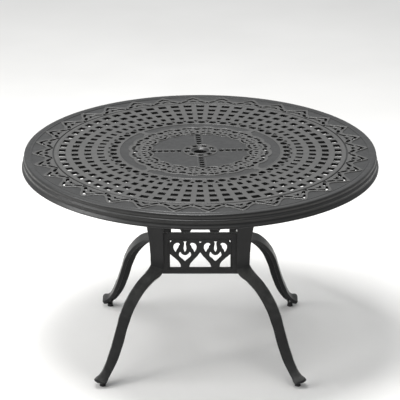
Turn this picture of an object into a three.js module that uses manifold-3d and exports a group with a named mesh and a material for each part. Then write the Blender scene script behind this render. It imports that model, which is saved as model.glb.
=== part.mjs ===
// Round cast metal patio table with a hole for an umbrella pole.
// Millimetres, +Z up, origin on the floor under the middle of the top, front towards -Y.
import * as THREE from 'three';
import { mergeVertices } from 'three/addons/utils/BufferGeometryUtils.js';
import Module from 'manifold-3d';

const wasm = await Module();
wasm.setup();

// Whole table
const tableHeight = 719;
const tableRadius = 600;
const seatGap = 0.3;
const overrun = 5;
const boltClearance = 0.5;
const boltHoleSides = 8;

// Top casting: plate and rim
const rimRise = 2;
const plateThickness = 6;
const latticeDrop = 5;
const rimWidth = 34;
const rimCrestWidth = 18;
const rimShoulderWidth = 5;
const rimCoveWidth = 5;
const rimBeadWidth = 6;
const rimHeight = 47;
const rimFlare = 6;
const rimWall = 9;
const rimSegments = 48;

// Top casting: hub round the umbrella hole
const patternTurn = THREE.MathUtils.degToRad(2.8);
const hubHoleRadius = 21;
const hubCollarWall = 15;
const hubCollarDepth = 16;
const hubCupRadius = 31;
const hubCupDepth = 6.5;
const hubRingRadius = 60;
const hubRingWidth = 5;
const hubRingRise = 2;
const hubSlotGap = 1.5;
const hubSlotDepth = 15;
const hubSlotWidth = 21;
const hubSegments = 27;

// Top casting: ornament. The rings of ornament lie at shares of the table's radius.
const spokeOuterShare = 0.272;
const vineInnerShare = 0.275;
const vineOuterShare = 0.382;
const chainShare = 0.4925;
const thickInnerShare = 0.468;
const latticeInnerShare = 0.5445;
const latticeOuterShare = 0.7885;
const valleyInnerShare = 0.827;
const valleyOuterShare = 0.85;
const slitFootShare = 0.888;
const slitTipShare = 0.926;
const crescentFootShare = 0.85;
const crescentTipShare = 0.873;
const spokeGap = 5;
const spokeSlotDepth = 12;
const spokeSlotWidth = 15;
const chainLinkLength = 27;
const chainLinkWidth = 15;
const windowDepth = 18;
const latticeBarWidth = 18.5;
const archSlitSpan = 35;
const archSlitWidth = 16;
const crescentSpan = 22;
const crescentWidth = 9;
const valleyHoleWidth = 14;

// How many times each ornament repeats round the top
const spokeCount = 4;
const spokeSlotCount = 5;
const hubSlotCount = 9;
const vineCount = 20;
const chainCount = 48;
const windowCount = 64;
const windowRowCount = 4;
const archCount = 32;

// Legs: reach is the distance of a face from the middle of the table, along X and along Y
const kneeHeight = 370;
const kneeReach = 166;
const topReach = 226;
const toeReach = 354;
const flangeEndReach = 122;
const flangeTopSpread = 54;
const flangeDrop = 18;
const legWall = 14;
const toeTopHeight = 60;
const toeCornerCut = 8;
const postPower = 2;
const soleHeight = 12;
const legPadThickness = 10;
const legPadInnerReach = 150;
const bossDepth = 8;
const bossRadius = 13;

// Panels between the legs
const panelDrop = 39;
const panelHeight = 148;
const panelThickness = 10;
const panelOverlap = 14;
const panelSideRail = 20;
const panelBottomRail = 21;
const panelTopRail = 26;

// Fasteners and feet
const panelBoltRadius = 3;
const panelBoltHead = 5.5;
const panelBoltHeadDepth = 4;
const panelBoltGrip = 9;
const panelBoltInset = 40;
const panelBoltStagger = 14;
const topBoltRadius = 4;
const topBoltHead = 7.5;
const topBoltHeadDepth = 5.5;
const topBoltInReach = 166;
const topBoltOutReach = 194;
const topBoltBite = 10;
const washerRadius = 8.5;
const washerThickness = 1.6;
const studRadius = 4;
const studLength = 30;
const studSeatDepth = 6;
const footPadRadius = 10.5;
const footPadWaist = 9;
const footPadEdge = 3;

// Levels that follow from the sizes above
const plateTop = tableHeight - rimRise;
const plateBottom = plateTop - plateThickness;
const rimBottom = tableHeight - rimHeight;
const thickBottom = plateBottom - latticeDrop;
const rimInnerRadius = tableRadius - rimWidth;
const rimInsideRadius = tableRadius - rimFlare - rimWall;
const legTop = plateBottom - bossDepth - seatGap;
const legPadBottom = legTop - legPadThickness;
const postStraightStart = legPadBottom - washerThickness - topBoltHeadDepth - 3 * seatGap;
const panelBottom = kneeHeight - panelDrop;
const panelTop = panelBottom + panelHeight;
const liningReach = kneeReach - legWall;
const panelOuterFace = liningReach - seatGap;
const panelInnerFace = panelOuterFace - panelThickness;
const panelHalfWidth = flangeEndReach + panelOverlap;
const panelBoltReach = flangeEndReach + panelOverlap / 2;

const finishes = {
  topCoat: new THREE.MeshStandardMaterial({ color: 0x4b4c4e, roughness: 0.48, metalness: 0.25 }),
  legCoat: new THREE.MeshStandardMaterial({ color: 0x47484a, roughness: 0.45, metalness: 0.25 }),
  steel: new THREE.MeshStandardMaterial({ color: 0x8d8f92, roughness: 0.35, metalness: 0.9 }),
  footRubber: new THREE.MeshStandardMaterial({ color: 0x1b1b1c, roughness: 0.8, metalness: 0 }),
};

// Solids and booleans

function solidOf(geometry) {
  const bare = geometry.index ? geometry.toNonIndexed() : geometry.clone();
  bare.deleteAttribute('normal');
  bare.deleteAttribute('uv');
  const merged = mergeVertices(bare);
  const vertProperties = new Float32Array(merged.attributes.position.array);
  const triVerts = new Uint32Array(merged.index.array);
  return new wasm.Manifold(new wasm.Mesh({ numProp: 3, vertProperties, triVerts }));
}

function geometryOf(solid) {
  const mesh = solid.getMesh();
  const geometry = new THREE.BufferGeometry();
  geometry.setAttribute('position', new THREE.BufferAttribute(new Float32Array(mesh.vertProperties), 3));
  geometry.setIndex(new THREE.BufferAttribute(new Uint32Array(mesh.triVerts), 1));
  geometry.computeVertexNormals();
  return geometry;
}

function piece(name, solid, finish) {
  const mesh = new THREE.Mesh(geometryOf(solid), finish);
  mesh.name = name;
  return mesh;
}

// A turned solid about Z from a closed profile of [radius, height] points.
function turned(profile, segments) {
  const points = profile.map(([radius, height]) => new THREE.Vector2(radius, height));
  const geometry = new THREE.LatheGeometry(points, segments);
  geometry.rotateX(Math.PI / 2);
  return solidOf(geometry);
}

// An upright prism about Z, set at a place.
function prism(radius, low, high, sides, x, y) {
  const geometry = new THREE.CylinderGeometry(radius, radius, high - low, sides);
  geometry.rotateX(Math.PI / 2);
  geometry.translate(x, y, (low + high) / 2);
  return solidOf(geometry);
}

// A prism along X, set at a height.
function crossPrism(radius, low, high, sides, y, z) {
  const geometry = new THREE.CylinderGeometry(radius, radius, high - low, sides);
  geometry.rotateZ(Math.PI / 2);
  geometry.translate((low + high) / 2, y, z);
  return solidOf(geometry);
}

function block(low, high) {
  const geometry = new THREE.BoxGeometry(high[0] - low[0], high[1] - low[1], high[2] - low[2]);
  geometry.translate((low[0] + high[0]) / 2, (low[1] + high[1]) / 2, (low[2] + high[2]) / 2);
  return solidOf(geometry);
}

// Upright prisms of outlines that don't touch each other, as one solid.
function prismsOf(outlines, low, high) {
  const shapes = outlines.map((points) => new THREE.Shape(points));
  const geometry = new THREE.ExtrudeGeometry(shapes, { depth: high - low, bevelEnabled: false });
  geometry.translate(0, 0, low);
  return solidOf(geometry);
}

// A solid through level rings of [x, y] points, lowest first, each counter-clockwise from above.
function lofted(rings) {
  const count = rings[0].points.length;
  const corners = rings.flatMap((ring) => ring.points.map(([x, y]) => [x, y, ring.height]));
  const faces = [];
  for (let level = 0; level + 1 < rings.length; level += 1) {
    for (let side = 0; side < count; side += 1) {
      const here = level * count + side;
      const next = level * count + (side + 1) % count;
      faces.push([here, next, next + count], [here, next + count, here + count]);
    }
  }
  const flat = (ring) => ring.points.map(([x, y]) => new THREE.Vector2(x, y));
  const lastRing = (rings.length - 1) * count;
  for (const [a, b, c] of THREE.ShapeUtils.triangulateShape(flat(rings[0]), [])) {
    faces.push([c, b, a]);
  }
  for (const [a, b, c] of THREE.ShapeUtils.triangulateShape(flat(rings.at(-1)), [])) {
    faces.push([a + lastRing, b + lastRing, c + lastRing]);
  }
  const geometry = new THREE.BufferGeometry();
  geometry.setAttribute('position', new THREE.Float32BufferAttribute(corners.flat(), 3));
  geometry.setIndex(faces.flat());
  return solidOf(geometry);
}

// Pattern of the top. Angles run from the front of the table towards +X.

function polarPoint(radius, angle) {
  return new THREE.Vector2(radius * Math.sin(angle), -radius * Math.cos(angle));
}

// Points at a radius and at a sideways distance along it from a centre line.
function besideLine(centreAngle, places) {
  return places.map(([radius, sideways]) => polarPoint(radius, centreAngle + sideways / radius));
}

function turnsOf(count, startShare = 0) {
  return Array.from({ length: count }, (_, k) => patternTurn + (k + startShare) * 2 * Math.PI / count);
}

function sectorHole(centreAngle, innerRadius, outerRadius, innerWidth, outerWidth) {
  return besideLine(centreAngle, [
    [innerRadius, -innerWidth / 2],
    [innerRadius, innerWidth / 2],
    [outerRadius, outerWidth / 2],
    [outerRadius, -outerWidth / 2],
  ]);
}

function latticeHoles() {
  const holes = [];
  const innerRing = tableRadius * latticeInnerShare;
  const outerRing = tableRadius * latticeOuterShare;
  const rowStep = (outerRing - innerRing - windowDepth) / (windowRowCount - 1);
  const windowAngle = 2 * Math.PI / windowCount;
  for (let row = 0; row < windowRowCount; row += 1) {
    const inner = innerRing + row * rowStep;
    const outer = inner + windowDepth;
    for (const angle of turnsOf(windowCount, 1 / 2)) {
      const innerWidth = inner * windowAngle - latticeBarWidth;
      const outerWidth = outer * windowAngle - latticeBarWidth;
      holes.push(sectorHole(angle, inner, outer, innerWidth, outerWidth));
    }
  }
  return holes;
}

// Each pointed arch has a slit in the form of its gable, and a crescent under it.
function archHoles() {
  const slitTip = tableRadius * slitTipShare;
  const slitFoot = tableRadius * slitFootShare;
  const crescentTip = tableRadius * crescentTipShare;
  const crescentFoot = tableRadius * crescentFootShare;
  return turnsOf(archCount).flatMap((angle) => [
    besideLine(angle, [
      [slitTip, 0],
      [slitFoot + archSlitWidth / 2, archSlitSpan / 2],
      [slitFoot, archSlitSpan / 2],
      [slitTip - archSlitWidth, 0],
      [slitFoot, -archSlitSpan / 2],
      [slitFoot + archSlitWidth / 2, -archSlitSpan / 2],
    ]),
    besideLine(angle, [
      [crescentTip, 0],
      [crescentFoot, crescentSpan / 2],
      [crescentTip - crescentWidth, 0],
      [crescentFoot, -crescentSpan / 2],
    ]),
  ]);
}

function valleyHoles() {
  const inner = tableRadius * valleyInnerShare;
  const outer = tableRadius * valleyOuterShare;
  return turnsOf(archCount, 1 / 2).map((angle) => besideLine(angle, [
    [inner, -valleyHoleWidth / 2],
    [inner, valleyHoleWidth / 2],
    [outer, 0],
  ]));
}

// The chain's long links, drawn as lozenges with their long way round the table.
function chainHoles() {
  const radius = tableRadius * chainShare;
  return turnsOf(chainCount, 1 / 2).map((angle) => besideLine(angle, [
    [radius, -chainLinkLength / 2],
    [radius - chainLinkWidth / 2, 0],
    [radius, chainLinkLength / 2],
    [radius + chainLinkWidth / 2, 0],
  ]));
}

// The vine ring repeats a hole and a crescent in each scallop, and a drop and a leaf on each cusp.
function vineHoles() {
  const innerRing = tableRadius * vineInnerShare;
  const band = tableRadius * vineOuterShare - innerRing;
  const pitch = 2 * Math.PI * innerRing / vineCount;
  // Each hole's inner edge, outer edge, inner width and outer width, as shares of the band and the pitch.
  const scallopShares = [0, 0.22, 0.45, 0.62];
  const dropShares = [0.18, 0.46, 0.1, 0.14];
  const leafShares = [0.53, 0.84, 0.2, 0.46];
  const crescentShares = [0.9, 1.05, 0.78, 0.72];
  const hole = (angle, [low, high, innerWidth, outerWidth]) => (
    sectorHole(angle, innerRing + band * low, innerRing + band * high, pitch * innerWidth, pitch * outerWidth));
  return [
    ...turnsOf(vineCount, 1 / 2).flatMap((angle) => [hole(angle, scallopShares), hole(angle, crescentShares)]),
    ...turnsOf(vineCount).map((angle) => hole(angle, dropShares)),
    ...turnsOf(vineCount).map((angle) => hole(angle, leafShares)),
  ];
}

function spokeHoles() {
  const start = hubRingRadius + spokeGap;
  const step = (tableRadius * spokeOuterShare - start - spokeSlotDepth) / (spokeSlotCount - 1);
  const holes = [];
  for (const angle of turnsOf(spokeCount)) {
    for (let slot = 0; slot < spokeSlotCount; slot += 1) {
      const inner = start + slot * step;
      holes.push(sectorHole(angle, inner, inner + spokeSlotDepth, spokeSlotWidth, spokeSlotWidth));
    }
  }
  return holes;
}

function hubHoles() {
  const outer = hubRingRadius - hubRingWidth - hubSlotGap;
  return turnsOf(hubSlotCount).map((angle) => (
    sectorHole(angle, outer - hubSlotDepth, outer, hubSlotWidth, hubSlotWidth)));
}

// The plate is thicker under the lattice and the arches.
function thickRing() {
  const inner = tableRadius * thickInnerShare;
  const outer = rimInsideRadius + rimWall / 3;
  const high = plateTop - plateThickness / 2;
  return turned([
    [inner, thickBottom],
    [outer, thickBottom],
    [outer, high],
    [inner, high],
    [inner, thickBottom],
  ], rimSegments);
}

function plateSolid() {
  const plateRadius = rimInnerRadius + rimCrestWidth / 2;
  const circle = (radius, count) => (
    Array.from({ length: count }, (_, k) => polarPoint(radius, k * 2 * Math.PI / count)));
  const holes = [
    circle(hubHoleRadius + hubCollarWall / 2, hubSegments),
    ...hubHoles(),
    ...spokeHoles(),
    ...vineHoles(),
    ...chainHoles(),
    ...latticeHoles(),
    ...archHoles(),
    ...valleyHoles(),
  ];
  const disc = prismsOf([circle(plateRadius, rimSegments)], plateBottom, plateTop).add(thickRing());
  return disc.subtract(prismsOf(holes, thickBottom - overrun, plateTop + overrun));
}

function rimSolid() {
  const crestOuter = rimInnerRadius + rimCrestWidth;
  const skirtOuter = tableRadius - rimFlare;
  const coveRadius = skirtOuter - rimBeadWidth / 2;
  const shoulderHeightShare = 0.1;
  const coveHeightShare = 0.33;
  const beadHeightShare = 0.48;
  const waistHeightShare = 0.76;
  const flareHeightShare = 0.88;
  const level = (share) => tableHeight - rimHeight * share;
  return turned([
    [rimInnerRadius, plateBottom],
    [rimInsideRadius, plateBottom],
    [rimInsideRadius, rimBottom],
    [tableRadius, rimBottom],
    [tableRadius, level(flareHeightShare)],
    [skirtOuter, level(waistHeightShare)],
    [skirtOuter, level(beadHeightShare)],
    [coveRadius - rimCoveWidth / 2, level(coveHeightShare)],
    [crestOuter + rimShoulderWidth, level(shoulderHeightShare)],
    [crestOuter, tableHeight],
    [rimInnerRadius, tableHeight],
    [rimInnerRadius, plateBottom],
  ], rimSegments);
}

// The collar of the umbrella hole opens upwards in a shallow cup.
function hubCollar() {
  const outer = hubHoleRadius + hubCollarWall;
  const crest = plateTop + hubRingRise;
  const foot = plateBottom - hubCollarDepth;
  return turned([
    [hubHoleRadius, foot],
    [outer, foot],
    [outer, crest],
    [hubCupRadius, crest],
    [hubHoleRadius, crest - hubCupDepth],
    [hubHoleRadius, foot],
  ], hubSegments);
}

function hubRing() {
  const inner = hubRingRadius - hubRingWidth;
  const low = plateTop - plateThickness / 2;
  return turned([
    [inner, low],
    [hubRingRadius, low],
    [hubRingRadius, plateTop + hubRingRise],
    [inner, plateTop + hubRingRise],
    [inner, low],
  ], hubSegments);
}

// The two bolt places of each leg, mirrored across its diagonal.
const topBoltPlaces = [[topBoltInReach, topBoltOutReach], [topBoltOutReach, topBoltInReach]];

function quarterTurned([x, y], quarter) {
  const place = new THREE.Vector2(x, y).rotateAround(new THREE.Vector2(), quarter * Math.PI / 2);
  return [place.x, place.y];
}

function tableTop() {
  let solid = plateSolid().add(rimSolid()).add(hubCollar()).add(hubRing());
  for (let quarter = 0; quarter < 4; quarter += 1) {
    for (const bolt of topBoltPlaces) {
      const [x, y] = quarterTurned(bolt, quarter);
      const bossBottom = plateBottom - bossDepth;
      const boss = prism(bossRadius, bossBottom, plateTop - plateThickness / 2, boltHoleSides, x, y);
      const hole = prism(topBoltRadius + boltClearance, bossBottom - overrun, bossBottom + topBoltBite,
        boltHoleSides, x, y);
      solid = solid.add(boss).subtract(hole);
    }
  }
  return piece('table_top', solid, finishes.topCoat);
}

// Legs

// Where the outer faces run below the knee: shares of the way from the knee to the toe tip,
// and shares of the knee's height.
const shinOuterShares = [
  [0, 1], [0.019, 0.976], [0.059, 0.953], [0.163, 0.916], [0.268, 0.866], [0.372, 0.797], [0.456, 0.726],
  [0.532, 0.635], [0.611, 0.492], [0.712, 0.317], [0.787, 0.216], [0.849, 0.157], [0.899, 0.13], [0.968, 0.115],
  [1, 0.089],
];
// The same for the flanges' inner ends, from the flange end to the toe tip.
const shinInnerShares = [
  [0, 0.93], [0.026, 0.912], [0.085, 0.9], [0.152, 0.879], [0.207, 0.857], [0.25, 0.827], [0.299, 0.789],
  [0.345, 0.749], [0.385, 0.708], [0.424, 0.663], [0.464, 0.605], [0.528, 0.49], [0.609, 0.315], [0.695, 0.187],
  [0.756, 0.13], [0.802, 0.092], [0.828, 0.054], [0.836, 0.02],
];
const shinSamples = 60;

function shinCurve(shares, nearReach) {
  const points = shares.map(([reachShare, heightShare]) => new THREE.Vector2(
    nearReach + (toeReach - nearReach) * reachShare,
    kneeHeight * heightShare,
  ));
  return new THREE.SplineCurve(points).getPoints(shinSamples);
}

// Shifts a curve towards the inside of the leg by the wall.
function insideOf(points) {
  return points.map((point, k) => {
    const before = points[Math.max(k - 1, 0)];
    const after = points[Math.min(k + 1, points.length - 1)];
    const along = after.clone().sub(before).normalize();
    return new THREE.Vector2(point.x + along.y * legWall, point.y - along.x * legWall);
  });
}

// The reach of a falling curve at a height.
function reachAt(points, height) {
  const below = points.findIndex((point) => point.y <= height);
  if (below < 0) {
    return points.at(-1).x;
  }
  if (below === 0) {
    return points[0].x;
  }
  const low = points[below];
  const high = points[below - 1];
  return low.x + (high.x - low.x) * (height - low.y) / (high.y - low.y);
}

const shinOuter = shinCurve(shinOuterShares, kneeReach);
const shinInner = shinCurve(shinInnerShares, flangeEndReach);
const shinLining = insideOf(shinOuter);
const toeTipHeight = shinOuter.at(-1).y;
const solePadReach = reachAt(shinInner, soleHeight) + footPadRadius;

// How far a height is up from a start to the post's straight top end, from 0 to 1.
function riseShare(height, start) {
  return THREE.MathUtils.clamp((height - start) / (postStraightStart - start), 0, 1);
}

// Under the toe's tip the sole curves in to the pad.
function soleReach(height) {
  const padEdge = solePadReach + footPadRadius;
  const share = (height - soleHeight) / (toeTipHeight - soleHeight);
  return padEdge + (toeReach - padEdge) * Math.sin(share * Math.PI / 2);
}

function outerReach(height) {
  if (height < toeTipHeight) {
    return soleReach(height);
  }
  if (height <= kneeHeight) {
    return reachAt(shinOuter, height);
  }
  return kneeReach + (topReach - kneeReach) * riseShare(height, kneeHeight) ** postPower;
}

function innerReach(height) {
  if (height <= shinInner[0].y) {
    return reachAt(shinInner, height);
  }
  return flangeEndReach + flangeTopSpread * riseShare(height, panelTop) ** postPower;
}

function innerWallReach(height) {
  if (height <= shinLining[0].y) {
    return reachAt(shinLining, height);
  }
  const spread = topReach - legWall - liningReach;
  return liningReach + spread * riseShare(height, panelTop) ** postPower;
}

// The flanges stand square to the slope of the shin, so their ends hang lower than the corner.
function flangeFaceReach(height) {
  if (height >= kneeHeight) {
    return outerReach(height);
  }
  const drop = flangeDrop * (height / kneeHeight) ** 2;
  return outerReach(Math.min(height + drop, kneeHeight));
}

// The angle section of a leg: two flanges that meet at the outer corner.
function angleRing(height) {
  const outer = outerReach(height);
  const inner = innerReach(height);
  const face = flangeFaceReach(height);
  const wall = Math.max(innerWallReach(height), inner + seatGap);
  const endWall = Math.max(wall - (outer - face), liningReach, inner + seatGap);
  const points = [[outer, outer], [inner, face], [inner, endWall], [wall, wall], [endWall, inner], [face, inner]];
  return { height, points };
}

// The toe's section: a square with its corners cut.
function toeRing(height, cut) {
  const outer = outerReach(height);
  const inner = innerReach(height);
  return {
    height,
    points: [
      [outer, outer - cut], [outer - cut, outer], [inner + cut, outer], [inner, outer - cut],
      [inner, inner + cut], [inner + cut, inner], [outer - cut, inner], [outer, inner + cut],
    ],
  };
}

function legSolid() {
  const shinHeightShares = [0.08, 0.19, 0.33, 0.47, 0.58, 0.68, 0.77, 0.85, 0.9, 0.94, 0.97, 1];
  const postHeightShares = [0.36, 0.54, 0.7, 0.85, 1];
  // Heights up the toe, each with how much of the corner cut is left there.
  const toeRingShares = [[0, 1], [0.15, 1], [0.3, 0.9], [0.44, 0.6], [0.62, 0.4], [0.76, 0.25], [1, 0.1]];
  const shinStartShare = 0.8;
  const toeHeight = (share) => soleHeight + (toeTopHeight - soleHeight) * share;
  const shinRings = [
    angleRing(toeHeight(shinStartShare)),
    angleRing(toeTopHeight),
    ...shinHeightShares.map((share) => angleRing(toeTopHeight + (kneeHeight - toeTopHeight) * share)),
  ];
  const postRings = postHeightShares.map((share) => (
    angleRing(kneeHeight + (postStraightStart - kneeHeight) * share)));
  const toeRings = toeRingShares.map(([heightShare, cutShare]) => (
    toeRing(toeHeight(heightShare), toeCornerCut * cutShare)));
  const padOuter = topReach - legWall / 2;
  let solid = lofted([...shinRings, ...postRings, angleRing(legTop)]).add(lofted(toeRings));
  solid = solid.add(block(
    [legPadInnerReach, legPadInnerReach, legPadBottom],
    [padOuter, padOuter, legTop],
  ));
  return solid;
}

function legWithHoles() {
  let solid = legSolid();
  for (const [x, y] of topBoltPlaces) {
    solid = solid.subtract(prism(topBoltRadius + boltClearance, legPadBottom - overrun, legTop + overrun,
      boltHoleSides, x, y));
  }
  const flangeHole = (height) => crossPrism(panelBoltRadius + boltClearance, panelOuterFace - overrun,
    panelOuterFace + panelBoltGrip, boltHoleSides, panelBoltReach, height);
  for (const height of panelBoltHeights(1)) {
    solid = solid.subtract(flangeHole(height));
  }
  for (const height of panelBoltHeights(-1)) {
    solid = solid.subtract(flangeHole(height).mirror([1, -1, 0]));
  }
  const studTop = soleHeight + studLength;
  return solid.subtract(prism(studRadius + boltClearance, soleHeight - overrun, studTop, boltHoleSides,
    solePadReach, solePadReach));
}

// Panels

// The bolts at a panel's two ends are staggered, so that the heads of neighbours clear each other.
function panelBoltHeights(end) {
  const inset = end > 0 ? panelBoltInset + panelBoltStagger : panelBoltInset;
  return [panelBottom + inset, panelTop - inset];
}

// The right half of each hole on a heart's stem, as shares of the opening: across from the stem, and up.
const chevronShares = [[0.056, 0.332], [0.103, 0.48], [0.081, 0.574], [0.034, 0.477]];
const chevronFootShare = 0.228;
const chevronHeadShare = 0.455;
const keyholeShares = [[0.029, 0.683], [0.017, 0.861], [0.035, 0.936]];
const keyholeFootShare = 0.554;
// The hole in the right lobe of a heart.
const lobeShares = [
  [0.16, 0.549], [0.191, 0.653], [0.2, 0.738], [0.188, 0.822], [0.157, 0.874], [0.11, 0.891], [0.082, 0.837],
  [0.11, 0.703],
];
// Holes that the two hearts share with the frame, for the right half of the opening.
const sideHoleShares = [
  [[0.321, 0.015], [0.496, 0.015], [0.496, 0.49], [0.414, 0.342], [0.36, 0.238], [0.321, 0.059]],
  [[0.458, 0.98], [0.496, 0.871], [0.496, 0.98]],
];
const middleFootShares = [[0.176, 0.015], [0.176, 0.069], [0.154, 0.168], [0.113, 0.267], [0.047, 0.416]];
const middleTipShare = 0.545;
const middleHeadShares = [[0.025, 0.936]];
const middleHeadTipShare = 0.871;

function mirrored(points) {
  return points.map(([across, up]) => [-across, up]);
}

// A hole that is the same on both sides of its stem: its lower end, its right half and its upper end.
function stemHole(foot, half, head) {
  return [...foot, ...half, ...head, ...mirrored(half).reverse()];
}

function panelSolid() {
  const heartHoles = [
    stemHole([[0, chevronFootShare]], chevronShares, [[0, chevronHeadShare]]),
    stemHole([[0, keyholeFootShare]], keyholeShares, []),
    lobeShares,
    mirrored(lobeShares),
  ];
  const middleHoles = [
    stemHole([], middleFootShares, [[0, middleTipShare]]),
    stemHole([[0, middleHeadTipShare]], middleHeadShares, []),
  ];
  const openingWidth = 2 * (flangeEndReach - panelSideRail);
  const openingBottom = panelBottom + panelBottomRail;
  const openingHeight = panelHeight - panelBottomRail - panelTopRail;
  const place = ([across, up], centreShare) => new THREE.Vector2(
    openingWidth * (across + centreShare),
    openingBottom + openingHeight * up,
  );
  const outlines = [];
  for (const centreShare of [-1 / 4, 1 / 4]) {
    outlines.push(...heartHoles.map((hole) => hole.map((point) => place(point, centreShare))));
  }
  outlines.push(...middleHoles.map((hole) => hole.map((point) => place(point, 0))));
  for (const side of [-1, 1]) {
    outlines.push(...sideHoleShares.map((hole) => (
      hole.map(([across, up]) => place([across * side, up], 0)))));
  }
  // The panel is drawn lying down, then stood up to face along +X.
  const frame = block([-panelHalfWidth, panelBottom, 0], [panelHalfWidth, panelTop, panelThickness]);
  let solid = frame.subtract(prismsOf(outlines, -overrun, panelThickness + overrun))
    .rotate([90, 0, 90])
    .translate([panelInnerFace, 0, 0]);
  for (const side of [-1, 1]) {
    for (const height of panelBoltHeights(side)) {
      solid = solid.subtract(crossPrism(panelBoltRadius + boltClearance, panelInnerFace - overrun,
        panelOuterFace + overrun, boltHoleSides, side * panelBoltReach, height));
    }
  }
  return solid;
}

// Fasteners and feet

function bolt(headRadius, headDepth, shankRadius, shankLength) {
  const sides = 6;
  return turned([
    [0, -headDepth],
    [headRadius, -headDepth],
    [headRadius, 0],
    [shankRadius, 0],
    [shankRadius, shankLength],
    [0, shankLength],
  ], sides);
}

function topBolt() {
  const underside = legPadBottom - 2 * seatGap - washerThickness;
  const tip = plateBottom - bossDepth + topBoltBite - seatGap;
  return bolt(topBoltHead, topBoltHeadDepth, topBoltRadius, tip - underside)
    .translate([0, 0, underside]);
}

function washer() {
  const sides = 6;
  const high = legPadBottom - seatGap;
  const inner = topBoltRadius + boltClearance;
  return turned([
    [inner, high - washerThickness],
    [washerRadius, high - washerThickness],
    [washerRadius, high],
    [inner, high],
    [inner, high - washerThickness],
  ], sides);
}

function panelBolt() {
  const shank = panelThickness + 2 * seatGap + panelBoltGrip - seatGap;
  return bolt(panelBoltHead, panelBoltHeadDepth, panelBoltRadius, shank)
    .rotate([0, 90, 0])
    .translate([panelInnerFace - seatGap, 0, 0]);
}

function footPad() {
  const sides = 12;
  const top = soleHeight - seatGap;
  const socket = studRadius + boltClearance;
  return turned([
    [0, 0],
    [footPadRadius, 0],
    [footPadRadius, footPadEdge],
    [footPadWaist, top],
    [socket, top],
    [socket, top - studSeatDepth],
    [0, top - studSeatDepth],
  ], sides);
}

function footStud() {
  const sides = 8;
  const low = soleHeight - studSeatDepth;
  return turned([
    [0, low],
    [studRadius, low],
    [studRadius, soleHeight + studLength - overrun],
    [0, soleHeight + studLength - overrun],
  ], sides);
}

// Assembly

const cornerNames = ['back_right', 'back_left', 'front_left', 'front_right'];
const sideNames = ['right', 'back', 'left', 'front'];

const table = new THREE.Group();
table.add(tableTop());

cornerNames.forEach((corner, quarter) => {
  const group = new THREE.Group();
  group.rotation.z = quarter * Math.PI / 2;
  group.add(piece(`leg_${corner}`, legWithHoles(), finishes.legCoat));
  topBoltPlaces.forEach(([x, y], index) => {
    const boltMesh = piece(`top_bolt_${corner}_${index + 1}`, topBolt(), finishes.steel);
    const washerMesh = piece(`washer_${corner}_${index + 1}`, washer(), finishes.steel);
    boltMesh.position.set(x, y, 0);
    washerMesh.position.set(x, y, 0);
    group.add(boltMesh, washerMesh);
  });
  const padMesh = piece(`foot_pad_${corner}`, footPad(), finishes.footRubber);
  const studMesh = piece(`foot_stud_${corner}`, footStud(), finishes.steel);
  padMesh.position.set(solePadReach, solePadReach, 0);
  studMesh.position.set(solePadReach, solePadReach, 0);
  group.add(padMesh, studMesh);
  table.add(group);
});

sideNames.forEach((side, quarter) => {
  const group = new THREE.Group();
  group.rotation.z = quarter * Math.PI / 2;
  group.add(piece(`panel_${side}`, panelSolid(), finishes.legCoat));
  const places = [-1, 1].flatMap((end) => (
    panelBoltHeights(end).map((height) => [end * panelBoltReach, height])));
  places.forEach(([across, height], index) => {
    const mesh = piece(`panel_bolt_${side}_${index + 1}`, panelBolt(), finishes.steel);
    mesh.position.set(0, across, height);
    group.add(mesh);
  });
  table.add(group);
});

export default table;
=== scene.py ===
# Looks of the round cast metal umbrella table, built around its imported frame.
# Metres, +Z up, origin on the floor under the middle of the top, front towards -Y.
import math

import bpy
from mathutils import Matrix, Vector, geometry


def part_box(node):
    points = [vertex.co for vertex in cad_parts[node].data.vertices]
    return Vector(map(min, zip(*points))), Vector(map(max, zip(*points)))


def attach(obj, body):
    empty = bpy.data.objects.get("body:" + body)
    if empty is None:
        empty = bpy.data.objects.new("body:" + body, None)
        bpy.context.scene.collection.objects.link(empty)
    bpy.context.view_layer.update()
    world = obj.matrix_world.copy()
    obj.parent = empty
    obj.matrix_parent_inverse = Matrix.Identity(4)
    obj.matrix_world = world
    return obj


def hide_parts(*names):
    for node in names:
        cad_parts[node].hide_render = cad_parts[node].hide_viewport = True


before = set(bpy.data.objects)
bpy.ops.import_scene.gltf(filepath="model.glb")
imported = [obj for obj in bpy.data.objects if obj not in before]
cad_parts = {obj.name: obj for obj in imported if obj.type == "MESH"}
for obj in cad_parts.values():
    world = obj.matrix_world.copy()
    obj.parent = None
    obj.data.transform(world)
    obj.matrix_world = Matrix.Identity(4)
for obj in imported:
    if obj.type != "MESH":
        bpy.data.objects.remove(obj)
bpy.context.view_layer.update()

MM = 0.001
tiny = 1e-6
FULL_TURN = 2 * math.pi
QUARTER_TURN = math.pi / 2

# Sizes that the frame gives

_, top_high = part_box("table_top")
leg_low, leg_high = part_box("leg_back_right")
panel_low, panel_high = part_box("panel_right")
table_radius = top_high.x
table_height = top_high.z
leg_top = leg_high.z
leg_sole = leg_low.z
flange_end_reach = leg_low.x
toe_reach = leg_high.x
panel_top = panel_high.z

# Plates and beads of the top

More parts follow.
